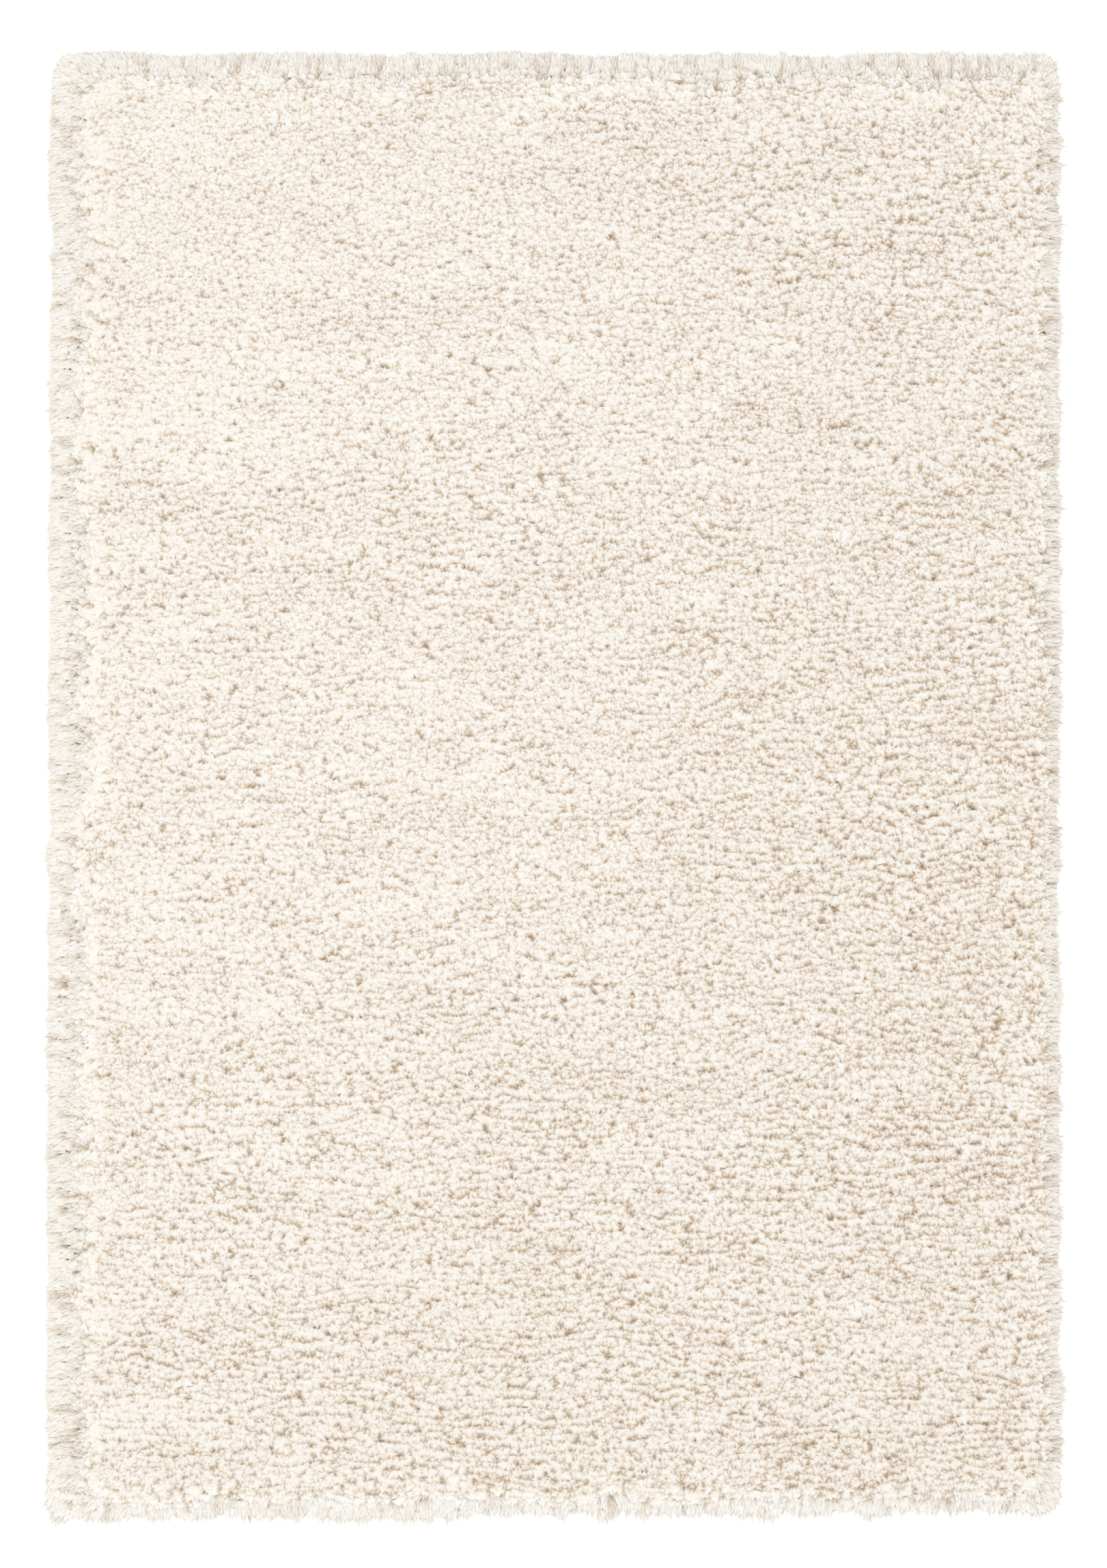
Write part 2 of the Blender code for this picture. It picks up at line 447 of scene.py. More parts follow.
# %% Let each side draw the pile outwards
# The fifth column is painted light: a side is painted paler where the light falls on it, and the right
# side a little darker, as painted shade.
Side = namedtuple("Side", "x y zone drift pale ragged")
SIDES = (
    Side(x=-1, y=0, zone=0.150, drift=-0.25, pale=0.00, ragged=0.0036),
    Side(x=1, y=0, zone=0.070, drift=0.0, pale=-0.05, ragged=0.0066),
    Side(x=0, y=-1, zone=0.095, drift=0.0, pale=0.32, ragged=0.0110),
    Side(x=0, y=1, zone=0.100, drift=0.0, pale=0.05, ragged=0.0046),
)
STRAYING_START = 0.04


def side_distance(x, y, side):
    """How far points lie in from one side of the outline."""
    return OUTER_X - side.x * x if side.x else OUTER_Y - side.y * y


Pull = namedtuple("Pull", "strength x y pale ragged")


def pull_of(x, y):
    """How much the rim draws the pile outwards, which way, and how much painted light makes it paler
    there.
    """
    out_x = np.zeros_like(x)
    out_y = np.zeros_like(x)
    pale = np.zeros_like(x)
    ragged = np.zeros_like(x)
    calm = np.ones_like(x)
    straying = 0.016 * wander(x, y, 0.05, 0.05, 76) + 0.010 * wander(x, y, 0.016, 0.016, 77)
    for side in SIDES:
        distance = side_distance(x, y, side)
        distance = distance + straying * np.clip(distance / STRAYING_START, 0, 1)
        pull = eased(1 - distance / side.zone)
        out_x += pull * side.x
        out_y += pull * (side.y + side.drift * abs(side.x))
        # Painted light makes a side's ends paler near it; on the right it is painted shade, a little
        # darker.
        pale += pull**2 * side.pale
        ragged = np.maximum(ragged, pull**4 * side.ragged)
        calm *= 1 - pull
    length = np.hypot(out_x, out_y) + 1e-9
    return Pull(1 - calm, out_x / length, out_y / length, pale, ragged)


for side in SIDES:
    edge = pull_of(np.array([0.98 * side.x * OUTER_X]), np.array([0.98 * side.y * OUTER_Y]))
    print(f"side {side.x:+d} {side.y:+d} pulls with {edge.strength[0]:.2f} near its edge")

# %% [markdown]
# ## Which way the yarn points
# The whole pile has a nap: it leans away from the viewer, more here and less there. At the rim
# it falls outwards like thatch instead and lies nearly flat. How much an end lies is told by
# how little it rises above the sloping surface round it, and the ends in between are a blend.

# %% Let the pile lean
NAP_X = -0.03
NAP_Y = 0.42
LIFT = 0.40
STEEPEST = 0.50
STANDING_RISE = 0.80
LYING_RISE = 0.44
RISE_SPREAD = 0.02


def slope_of(x, y):
    """How steeply the pile falls outwards at each place, as a rise: 0 inside, less at the rim."""
    inside = rim_distance(x, y, OUTER_X, OUTER_Y, OUTER_RADIUS)
    step = 0.002
    slope = PILE_HEIGHT * (rounded(inside - step) - rounded(inside + step)) / (2 * step)
    return np.maximum(slope, -STEEPEST)


def way_of(x, y, pull):
    """The way the yarn points at each tip: up with the nap inside, outwards at the rim."""
    nap_x = NAP_X + 0.05 * wander(x, y, 0.30, 0.22, 11) + 0.04 * wander(x, y, 0.11, 0.09, 12)
    nap_y = NAP_Y + 0.04 * wander(x, y, 0.34, 0.20, 13) + 0.03 * wander(x, y, 0.12, 0.07, 14)
    lying = pull.strength
    return unit(np.stack([
        (1 - lying) * nap_x + lying * pull.x,
        (1 - lying) * nap_y + lying * pull.y,
        (1 - lying) + lying * (slope_of(x, y) + LIFT),
    ], axis=1))


def lying_share(way, x, y, pull, chance):
    """How flat each end lies on the pile: 0 where it stands, 1 where it lies like thatch."""
    outwards = way[:, 0] * pull.x + way[:, 1] * pull.y
    rise = way[:, 2] - slope_of(x, y) * outwards * pull.strength
    rise = rise + RISE_SPREAD * chance.normal(0, 1, len(x))
    return eased((STANDING_RISE - rise) / (STANDING_RISE - LYING_RISE))


print(f"the nap leans {math.degrees(math.atan(NAP_Y)):.0f} degrees away from the viewer")

# %% [markdown]
# ## Where the pile parts
# Here and there the pile parts and shows the yarn below, painted tan as shade. There are
# thousands of such small places, wider across the rug than along it, and more of them where the
# pile is shaggiest, towards the near right. The tips round each one are pushed away from its middle.

# %% Part the tips
PARTINGS = 11000
PART_SIZES = (0.0012, 0.0020)
PART_STRETCH = 2.2
PART_PUSH = 0.0020
MOST_PARTED = 1.1


def unrest_of(x, y):
    """How shaggy the pile is, from 0 at the far left to 1 at the near right."""
    across = (x + HALF_X) / (2 * HALF_X)
    near = (HALF_Y - y) / (2 * HALF_Y)
    return np.clip(0.25 + 0.30 * across + 0.40 * near + 0.3 * wander(x, y, 0.35, 0.25, 65), 0, 1)


def place_partings(chance):
    """Where the pile parts, how wide each parting is and how strongly it opens."""
    x = chance.uniform(-HALF_X, HALF_X, 4 * PARTINGS)
    y = chance.uniform(-HALF_Y, HALF_Y, 4 * PARTINGS)
    likely = 0.35 + 0.5 * unrest_of(x, y) + 0.15 * wander(x, y, 0.050, 0.022, 69)
    kept = np.argsort(likely + chance.uniform(-0.6, 0.6, len(x)))[-PARTINGS:]
    size = chance.uniform(*PART_SIZES, PARTINGS)
    strength = chance.uniform(0.1, 1, PARTINGS) ** 1.3
    return x[kept], y[kept], size, strength


def part_tips(x, y, partings):
    """Pushes tips away from the partings' middles, and returns how parted each place is."""
    moved_x = x.copy()
    moved_y = y.copy()
    parted = np.zeros_like(x)
    order = np.argsort(y)
    sorted_y = y[order]
    for part_x, part_y, size, strength in zip(*partings):
        first, last = np.searchsorted(sorted_y, (part_y - 4 * size, part_y + 4 * size))
        near = order[first:last]
        near = near[np.abs(x[near] - part_x) < 8 * size]
        away_x = (x[near] - part_x) / PART_STRETCH
        away_y = y[near] - part_y
        away = np.hypot(away_x, away_y) + 1e-6
        pull = strength * np.exp(-0.5 * (away / size) ** 2)
        moved_x[near] += 0.5 * PART_PUSH * pull * away_x / away
        moved_y[near] += PART_PUSH * pull * away_y / away
        parted[near] += pull
    return moved_x, moved_y, np.minimum(parted, MOST_PARTED)


partings = place_partings(np.random.default_rng(66))
print(f"{PARTINGS} partings, the widest {2 * PART_STRETCH * partings[2].max() * 1000:.1f} mm across")

# %% [markdown]
# ## Clumps, ridges and locks
# Neighbouring ends crowd together in clumps, and the pile lies in wavy ridges across the rug.
# At the rim the yarn gathers in locks that run outwards, with gaps between them. Each of these
# moves the tips sideways by a millimetre or two, sinks some of them and paints shade, a deeper
# tan, into the partings and the gaps.

# %% Crowd and ridge the tips
CROWD = 0.0006
CLUMP_ACROSS = 0.021
CLUMP_ALONG = 0.014
CLUMP_PULL = 0.0000200
CLUMP_RISE = 0.0003
RIDGE_PITCH = 0.0145
RIDGE_PUSH = 0.0018
RIDGE_DEPTH = 0.0012
PART_DEPTH = 0.0062
PART_SHADE = 0.0050
LOCK_WIDTH = 0.0080
LOCK_LENGTH = 0.022
LOCK_RISE = 0.0026
LOCK_SHADE = 0.0040
MEAN_GAP = 0.3


def clump(x, y):
    """How much a place belongs to a clump: 1 in its middle, -1 in the gap beside it."""
    return wander(x, y, CLUMP_ACROSS, CLUMP_ALONG, 63)


def stir(x, y):
    """Moves tips by crowding, ridges and partings; also how far each is sunk and how much painted shade
    it gets.
    """
    unrest = unrest_of(x, y)
    drift = 1.3 * wander(x, y, 0.10, 0.07, 67) + 0.5 * wander(x, y, 0.035, 0.03, 68)
    phase = 2 * math.pi * (y / RIDGE_PITCH + drift)
    clumpy = 0.35 + 0.3 * pull_of(x, y).strength
    step = 0.002
    uphill_x = (clump(x + step, y) - clump(x - step, y)) / (2 * step)
    uphill_y = (clump(x, y + step) - clump(x, y - step)) / (2 * step)
    moved_x = x + CROWD * wander(x, y, 0.022, 0.013, 61) + CLUMP_PULL * clumpy * uphill_x
    moved_y = y + CROWD * wander(x, y, 0.026, 0.012, 62) + CLUMP_PULL * clumpy * uphill_y
    moved_y += RIDGE_PUSH * unrest * np.sin(phase)
    moved_x, moved_y, parted = part_tips(moved_x, moved_y, partings)
    broken = np.clip(0.6 + 1.2 * wander(x, y, 0.022, 0.016, 70), 0, 1.4)
    crease = (0.5 + 0.5 * np.cos(phase)) ** 4 * broken
    sunk = RIDGE_DEPTH * (0.3 + 0.7 * unrest) * crease - CLUMP_RISE * clumpy * clump(x, y)
    pull = pull_of(x, y)
    locks = pull.x**2 * wander(x, y, LOCK_LENGTH, LOCK_WIDTH, 64)
    locks = locks + pull.y**2 * wander(x, y, LOCK_WIDTH, LOCK_LENGTH, 60)
    # Painted shade: the partings and the gaps between locks are painted a deeper tan.
    gaps = np.clip(0.1 - locks, 0, 1)
    sunk += LOCK_RISE * pull.strength * (gaps - MEAN_GAP)
    painted_shade = PART_SHADE * parted + LOCK_SHADE * pull.strength * (gaps - MEAN_GAP)
    return moved_x, moved_y, sunk + PART_DEPTH * parted, painted_shade


print(f"ridges every {RIDGE_PITCH * 1000:.1f} mm, up to {RIDGE_DEPTH * 1000:.1f} mm deep")

# %% [markdown]
# ## Lay out the tips
# The yarn is tied in rows across the rug, two ends to a tuft. Near the rim the yarn lies on its
# side and looks finer, so more and thinner ends lie there. The outline itself is drawn in here
# and there in soft lobes.

# %% Lay out the tips in rows
ROW_PITCH = 0.0048
TUFT_PITCH = 0.0073
JITTER_X = 0.0025
JITTER_Y = 0.0022
SPLAY = 0.0021
SPLAY_SPREAD_X = 0.0010
SPLAY_SPREAD_Y = 0.0009
LOBE_DEPTH = 0.0008


def lobes(x, y):
    """How far the rim's soft lobes draw the outline in at each place."""
    shape = 0.8 * wander(x, y, 0.055, 0.055, 71) + 0.5 * wander(x, y, 0.022, 0.022, 72)
    return LOBE_DEPTH + pull_of(x, y).ragged * shape


def lay_tips(chance):
    """The places of the tips, row by row, inside the rug's outline."""
    rows = np.arange(-OUTER_Y, OUTER_Y, ROW_PITCH)
    columns = np.arange(-OUTER_X, OUTER_X, TUFT_PITCH)
    x, y = np.meshgrid(columns, rows)
    x[1::2] += TUFT_PITCH / 2
    x = x.ravel()
    y = y.ravel()
    more = pull_of(x, y).strength > chance.uniform(0.4, 1.6, len(x))
    x = np.concatenate([x, x[more]])
    y = np.concatenate([y, y[more]])
    x += chance.uniform(-1, 1, len(x)) * JITTER_X
    y += chance.uniform(-1, 1, len(y)) * JITTER_Y
    x = np.concatenate([x - SPLAY, x + SPLAY]) + chance.normal(0, SPLAY_SPREAD_X, 2 * len(x))
    y = np.concatenate([y, y]) + chance.normal(0, SPLAY_SPREAD_Y, 2 * len(y))
    inside = rim_distance(x, y, OUTER_X, OUTER_Y, OUTER_RADIUS)
    kept = inside > lobes(x, y)
    return x[kept], y[kept]


chance = np.random.default_rng(5)
tip_x, tip_y = lay_tips(chance)
print(f"{len(tip_x)} tips")

# %% [markdown]
# ## A frayed rim
# At the rim some ends stick out past the rest, singly and in small locks, and at four places
# whole strands stray. Those places are a short table too.

# %% Fray the rim
FRAYED_ZONE = 0.012
Stray = namedtuple("Stray", "x y radius reach")
STRAYS = (
    Stray(x=0.790, y=1.150, radius=0.014, reach=0.0060),
    Stray(x=0.800, y=-0.700, radius=0.018, reach=0.0050),
    Stray(x=0.805, y=-1.035, radius=0.060, reach=0.0080),
    Stray(x=-0.790, y=-1.160, radius=0.022, reach=0.0090),
)


def frayed_rim(x, y, chance):
    """How far each end at the rim sticks out past its place, in locks and singly."""
    inside = rim_distance(x, y, OUTER_X, OUTER_Y, OUTER_RADIUS)
    strays = np.zeros_like(x)
    for stray in STRAYS:
        away = np.hypot(x - stray.x, y - stray.y) / stray.radius
        strays += stray.reach * np.exp(-0.5 * away**2)
    locks = 0.9 * wander(x, y, 0.015, 0.015, 75)
    single = np.minimum(chance.exponential(0.5, len(x)), 1.8) - 0.5
    return np.exp(-inside / FRAYED_ZONE) * (pull_of(x, y).ragged * (locks + single) + strays)


print(f"the longest stray reaches {max(stray.reach for stray in STRAYS) * 1000:.0f} mm past its place")

# %% [markdown]
# ## Plan every end
# Now each tip gets its own end. In the field the ends are short and wide, and at the rim they
# are longer, narrow and flat, with their flat side up. The shade wanders over the rug, is creamier
# at the rim and is painted paler by painted light on the lit sides. The partings and the gaps
# between locks are painted a deeper tan, as painted shade.

# %% Plan the ends
END_WIDTH = 0.0115
RIM_WIDTH = 0.0032
END_LENGTH = 0.0082
RIM_LENGTH = 0.0130
FAN = 1.00
RIM_FAN = 1.80
RIM_CREAM = 0.50
BAND_SHADE = 0.0012
UNEVEN_HEIGHT = 0.0012
LOWEST_TIP = 0.0030
HIGHEST_TIP = 0.0495
TURN_SPREAD = 0.35
SHADES = (0.05, 0.95)


def plan_ends(x, y, chance):
    """The plan of every end of the pile, from the places of the tips."""
    count = len(x)
    lumps = lump_height(x, y)
    x, y, sunk, painted_shade = stir(x, y)
    pull = pull_of(x, y)
    uneven = chance.normal(0, UNEVEN_HEIGHT, count)
    top = pile_top(x, y, lumps) - sunk + uneven
    out = frayed_rim(x, y, chance)
    x = x + pull.x * out
    y = y + pull.y * out
    shade = 0.5 + 0.10 * wander(x, y, 0.26, 0.20, 31) + 0.05 * wander(x, y, 0.07, 0.05, 32)
    # Painted light: the ends on the lit sides of the rim are painted paler.
    shade += pull.pale - RIM_CREAM * pull.strength + chance.normal(0, 0.08, count)
    # The stain is partly a tone that wanders at random, partly painted light that makes the lit sides
    # paler.
    stain = 0.0002 * wander(x, y, 0.30, 0.22, 35) + 0.0002 * wander(x, y, 0.045, 0.022, 36)
    stain += 0.0004 * wander(x, y, 0.012, 0.008, 37) - 0.0030 * pull.pale
    inside = rim_distance(x, y, OUTER_X, OUTER_Y, OUTER_RADIUS)
    # Painted shade in the partings and the gaps between locks, lifted at the very outline.
    stain += painted_shade - 0.0012 * np.exp(-np.maximum(inside, 0) / FRAYED_ZONE)
    # Deeper tan towards the right and towards the near end.
    stain += 0.0007 * (x / WIDTH + 0.2) - 0.0004 * y / LENGTH
    roll = chance.uniform(-math.pi, math.pi, count)
    way = way_of(x, y, pull)
    lying = lying_share(way, x, y, pull, chance)
    # Painted shade: the ends that still stand in the rim's zone are painted a deeper tan.
    stain += BAND_SHADE * pull.strength * (1 - lying)
    return Plan(
        tip=np.stack([x, y, np.clip(top, LOWEST_TIP, HIGHEST_TIP)], axis=1),
        way=way,
        length=END_LENGTH + (RIM_LENGTH - END_LENGTH) * lying + np.maximum(out, 0),
        width=(END_WIDTH + (RIM_WIDTH - END_WIDTH) * lying) * chance.uniform(0.85, 1.15, count),
        flatness=FAN + (RIM_FAN - FAN) * lying,
        turn=roll * (1 - lying) + (math.pi + chance.normal(0, TURN_SPREAD, count)) * lying,
        shade=np.clip(shade, *SHADES),
        stain=stain,
        lying=lying,
    )


ends = plan_ends(tip_x, tip_y, chance)
print(f"{np.mean(ends.lying > 0.5):.0%} of the ends lie down, and the rest stand")

# %% [markdown]
# ## Plant the pile in five bands
# One mesh of all the ends would be too large to handle well, so the pile is planted in five
# bands from the near side to the far side, each with the same number of ends.

# %% Plant the bands
BANDS = 5
edges = np.quantile(ends.tip[:, 1], np.linspace(0, 1, BANDS + 1))
edges[-1] += 0.001
end_points = set_ends(ends, chance)
surface = soft_surface(end_points[:, yarn_end.points[:, 2] > 0.5])
pile = []
for number, (near, far) in enumerate(zip(edges, edges[1:]), start=1):
    chosen = (ends.tip[:, 1] >= near) & (ends.tip[:, 1] < far)
    pile.append(plant(f"pile_band_{number}", pick(ends, chosen), end_points[chosen], surface))

# %% [markdown]
# ## Under the rim's edge
# The lowest yarn of the rim lies almost on the floor. It grows from the very edge of the cloth
# in three layers, which fill the side of the rug below the pile's tips. The places are found
# by walking round the rim, straight along each side and evenly round each corner.

# %% Fill the side of the rug
Layer = namedtuple("Layer", "inside height")
LAYERS = (
    Layer(inside=0.0025, height=0.0025),
    Layer(inside=0.0025, height=0.0045),
    Layer(inside=0.0035, height=0.0065),
)
RIM_PITCH = 0.0030
LAYER_WIDTH = 0.0030
LAYER_FAN = 1.90
LAYER_DROOP = -0.12
LOWEST_LAYER = 0.0025


def walk_rim(inside, chance):
    """Places round the rim with the way out at each, turning evenly round the corners."""
    straight_x = OUTER_X - OUTER_RADIUS
    straight_y = OUTER_Y - OUTER_RADIUS
    bow = OUTER_RADIUS * math.pi / 2
    x, y, angle = [], [], []
    for quarter in range(4):
        heading = quarter * math.pi / 2
        out = np.array([math.cos(heading), math.sin(heading)])
        along = np.array([-out[1], out[0]])
        straight = straight_y if quarter % 2 == 0 else straight_x
        across = straight_x if quarter % 2 == 0 else straight_y
        gone = np.arange(-straight, straight, RIM_PITCH)
        gone = gone + chance.uniform(-0.5, 0.5, len(gone)) * RIM_PITCH
        place = out * across + along * gone[:, None]
        x.append(place[:, 0])
        y.append(place[:, 1])
        angle.append(np.full(len(gone), heading))
        spread = np.arange(0, bow, RIM_PITCH)
        spread = (spread + chance.uniform(-0.5, 0.5, len(spread)) * RIM_PITCH) / OUTER_RADIUS
        centre = out * across + along * straight
        x.append(np.full(len(spread), centre[0]))
        y.append(np.full(len(spread), centre[1]))
        angle.append(heading + spread)
    x, y, angle = (np.concatenate(values) for values in (x, y, angle))
    out_x = np.cos(angle)
    out_y = np.sin(angle)
    reach = OUTER_RADIUS - inside
    return x + reach * out_x, y + reach * out_y, out_x, out_y


def plan_layer(layer, chance):
    """The plan of one layer of ends, which lie side by side all round the rim."""
    x, y, out_x, out_y = walk_rim(layer.inside, chance)
    count = len(x)
    aside = 0.25 * wander(x, y, 0.020, 0.020, 73) + chance.normal(0, 0.10, count)
    way = unit(np.stack([
        out_x - out_y * aside, out_y + out_x * aside, np.full(count, LAYER_DROOP)
    ], axis=1))
    pull = pull_of(x, y)
    inward = lobes(x, y) - LOBE_DEPTH + np.abs(chance.normal(0, 0.0010, count))
    out = frayed_rim(x, y, chance)
    inward -= out
    height = np.maximum(layer.height + chance.normal(0, 0.0008, count), LOWEST_LAYER)
    return Plan(
        tip=np.stack([x - out_x * inward, y - out_y * inward, height], axis=1),
        way=way,
        length=RIM_LENGTH + np.maximum(out, 0),
        width=LAYER_WIDTH * chance.uniform(0.8, 1.1, count),
        flatness=np.full(count, LAYER_FAN),
        turn=math.pi + chance.normal(0, TURN_SPREAD, count),
        # Painted light makes these ends paler on the lit sides too.
        shade=np.clip(0.5 + pull.pale - RIM_CREAM + chance.normal(0, 0.12, count), *SHADES),
        stain=np.full(count, -0.0010) + chance.normal(0, 0.0005, count),
        lying=np.ones(count),
    )


layers = [plan_layer(layer, chance) for layer in LAYERS]
rim_plan = Plan(*(np.concatenate(values) for values in zip(*layers)))
pile.append(plant("rim_yarn", rim_plan, set_ends(rim_plan, chance), surface))

# %% [markdown]
# ## The packed yarn below
# Only the last centimetre of the yarn is free. Below that it is packed so tightly that it reads
# as one soft, lumpy mass, which shows between the ends, painted tan as shade. It is one closed
# shell: a grid extruded to a slab, its upper side raised to just under the tips and drawn out at
# the rim.

# %% Model the packed yarn
PACKED_DEPTH = 0.0085
PACKED_INSET = 0.004
PACKED_BULGE = 0.012
PACKED_LEAST = 0.004
PACKED_CELLS_X = 64
PACKED_CELLS_Y = 92


def round_corners(x, y, half_x, half_y, radius):
    """Draws the square of each corner in to a quarter disc."""
    out_x = np.abs(x) - (half_x - radius)
    out_y = np.abs(y) - (half_y - radius)
    corner = (out_x > 0) & (out_y > 0)
    squeeze = np.where(corner, np.maximum(out_x, out_y) / (np.hypot(out_x, out_y) + 1e-9), 1)
    x = x + np.where(corner, (squeeze - 1) * out_x * np.sign(x), 0)
    y = y + np.where(corner, (squeeze - 1) * out_y * np.sign(y), 0)
    return x, y


def make_packed_yarn():
    """Models the mass of yarn between the cloth and the free ends."""
    deselect_all()
    bpy.ops.mesh.primitive_grid_add(
        x_subdivisions=PACKED_CELLS_X, y_subdivisions=PACKED_CELLS_Y, size=2
    )
    packed = bpy.context.object
    packed.name = "packed_yarn"
    bpy.ops.object.mode_set(mode="EDIT")
    bpy.ops.mesh.select_all(action="SELECT")
    bpy.ops.mesh.extrude_region_move(TRANSFORM_OT_translate={"value": (0, 0, 1)})
    bpy.ops.mesh.select_all(action="SELECT")
    bpy.ops.mesh.normals_make_consistent(inside=False)
    bpy.ops.object.mode_set(mode="OBJECT")
    points = np.array([point.co for point in packed.data.vertices])
    half_x = HALF_X - PACKED_INSET
    half_y = HALF_Y - PACKED_INSET
    x, y = round_corners(points[:, 0] * half_x, points[:, 1] * half_y, half_x, half_y, CORNER_RADIUS)
    pull = pull_of(x, y)
    raised = points[:, 2] > 0.5
    top_x = x + PACKED_BULGE * pull.strength * pull.x
    top_y = y + PACKED_BULGE * pull.strength * pull.y
    top = pile_top(top_x, top_y, lump_height(x, y)) - PACKED_DEPTH
    z = np.where(raised, np.maximum(top, CLOTH_TOP + PACKED_LEAST), CLOTH_TOP)
    x, y = skew(np.where(raised, top_x, x), np.where(raised, top_y, y))
    packed.data.vertices.foreach_set("co", np.stack([x, y, z], axis=1).astype(np.float32).ravel())
    packed.data.update()
    packed.data.shade_smooth()
    print(f"packed_yarn: {len(packed.data.polygons)} faces, top at about {np.mean(top):.3f} m")
    return packed


packed_yarn = make_packed_yarn()

# %% [markdown]
# ## The cloth underneath
# The yarn is tied into a plain woven cloth. It shows only from below, and it is a thin closed
# sheet: a grid with the rug's outline, which a Solidify modifier gives its thickness.

# %% Weave the backing
CLOTH_EDGE = 0.002
CLOTH_CELLS_X = 32
CLOTH_CELLS_Y = 46


def make_backing():
    """Models the cloth that the yarn is tied into."""
    deselect_all()
    bpy.ops.mesh.primitive_grid_add(
        x_subdivisions=CLOTH_CELLS_X, y_subdivisions=CLOTH_CELLS_Y, size=2
    )
    cloth = bpy.context.object
    cloth.name = "backing_cloth"
    half_x = HALF_X - CLOTH_EDGE
    half_y = HALF_Y - CLOTH_EDGE
    points = np.array([point.co for point in cloth.data.vertices])
    x, y = round_corners(points[:, 0] * half_x, points[:, 1] * half_y, half_x, half_y, CORNER_RADIUS)
    x, y = skew(x, y)
    points = np.stack([x, y, np.full(len(x), CLOTH_TOP)], axis=1)
    cloth.data.vertices.foreach_set("co", points.astype(np.float32).ravel())
    cloth.data.update()
    thick = cloth.modifiers.new("thickness", "SOLIDIFY")
    thick.thickness = CLOTH_TOP
    thick.offset = -1
    bpy.ops.object.modifier_apply(modifier="thickness")
    print(f"backing_cloth: {len(cloth.data.polygons)} faces, {CLOTH_TOP * 1000:.0f} mm thick")
    return cloth


backing = make_backing()

# %% [markdown]
# ## Two helpers for materials
# Materials are made of nodes, and the same two steps come again and again: a node is made and
# its settings are given, and a ramp turns a value into a colour. Each step gets a helper.

# %% Make nodes and colour ramps
def make_node(tree, kind, **values):
    node = tree.nodes.new(kind)
    for name, value in values.items():
        setattr(node, name, value)
    return node


def yarn_ramp(tree, stops):
    ramp = make_node(tree, "ShaderNodeValToRGB")
    ramp.color_ramp.elements[0].position = stops[0][0]
    ramp.color_ramp.elements[0].color = (*stops[0][1], 1)
    ramp.color_ramp.elements[1].position = stops[-1][0]
    ramp.color_ramp.elements[1].color = (*stops[-1][1], 1)
    for place, colour in stops[1:-1]:
        ramp.color_ramp.elements.new(place).color = (*colour, 1)
    return ramp


# %% [markdown]
# ## The yarn's finish
# Undyed yarn is matt and slightly fuzzy, ivory at the tip and cream below. Deep down it is
# painted tan, as painted shade where the light has passed through more of it. The map made with
# the ends gives the material both things it needs: the tone, and how white or creamy the end is.
# So there are two ramps over the tone, one of the whitest yarn and one of the creamiest, and each
# end is a mix of the two.

# %% Mix the yarn material
# The tan and brown stops low on both ramps are painted shade for the depths of the pile.
WHITE_YARN = (
    (0.00, (0.30, 0.20, 0.13)),
    (0.40, (0.46, 0.345, 0.24)),
    (0.62, (0.69, 0.588, 0.475)),
    (0.76, (0.875, 0.83, 0.765)),
    (0.84, (0.95, 0.945, 0.925)),
)
CREAMY_YARN = (
    (0.00, (0.28, 0.18, 0.11)),
    (0.40, (0.43, 0.315, 0.215)),
    (0.62, (0.66, 0.548, 0.425)),
    (0.76, (0.855, 0.80, 0.715)),
    (0.85, (0.945, 0.912, 0.855)),
)
FIBRE_CONTRAST = 0.05
FIBRE_STRETCH = (50, 12, 1)
YARN_ROUGHNESS = 0.95


